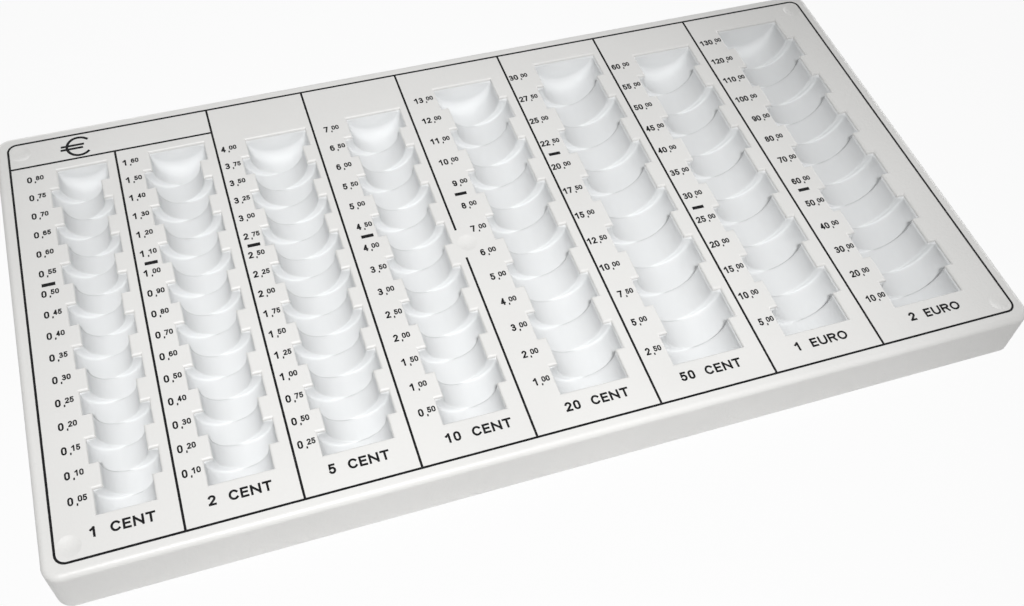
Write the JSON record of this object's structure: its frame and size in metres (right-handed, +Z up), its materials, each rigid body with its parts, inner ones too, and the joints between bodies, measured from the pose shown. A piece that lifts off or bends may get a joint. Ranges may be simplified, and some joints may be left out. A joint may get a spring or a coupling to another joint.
{
  "type": "coin counting tray",
  "caption": "Flat moulded tray with stepped half-round channels that hold euro coins on edge, grouped in fives, and a printed legend of values.",
  "frame": {"origin": "middle of the skirt's foot, on the surface that the tray stands on", "axes": "+X to the right along the row of channels, +Y to the back, +Z up"},
  "size_m": [0.325, 0.176, 0.0186],
  "materials": {
    "moulding": "fine-grained matt on the deck, smoother in the channels",
    "legend_ink": "black screen-printed ink"
  },
  "bodies": {
    "root": {"deck_and_skirt": "moulding", "channel_1_cent": "moulding", "channel_2_cent": "moulding", "channel_5_cent": "moulding", "channel_10_cent": "moulding", "channel_20_cent": "moulding", "channel_50_cent": "moulding", "channel_1_euro": "moulding", "channel_2_euro": "moulding", "printed_frame": "legend_ink", "printed_header_rule": "legend_ink", "printed_divider_1": "legend_ink", "printed_divider_2": "legend_ink", "printed_divider_3": "legend_ink", "printed_divider_4_front": "legend_ink", "printed_divider_4_back": "legend_ink", "printed_divider_5": "legend_ink", "printed_divider_6": "legend_ink", "printed_divider_7": "legend_ink", "roll_mark_1_cent": "legend_ink", "roll_mark_2_cent": "legend_ink", "roll_mark_5_cent": "legend_ink", "roll_mark_10_cent": "legend_ink", "roll_mark_20_cent": "legend_ink", "roll_mark_50_cent": "legend_ink", "roll_mark_1_euro": "legend_ink", "roll_mark_2_euro": "legend_ink"}
  },
  "joints": []
}
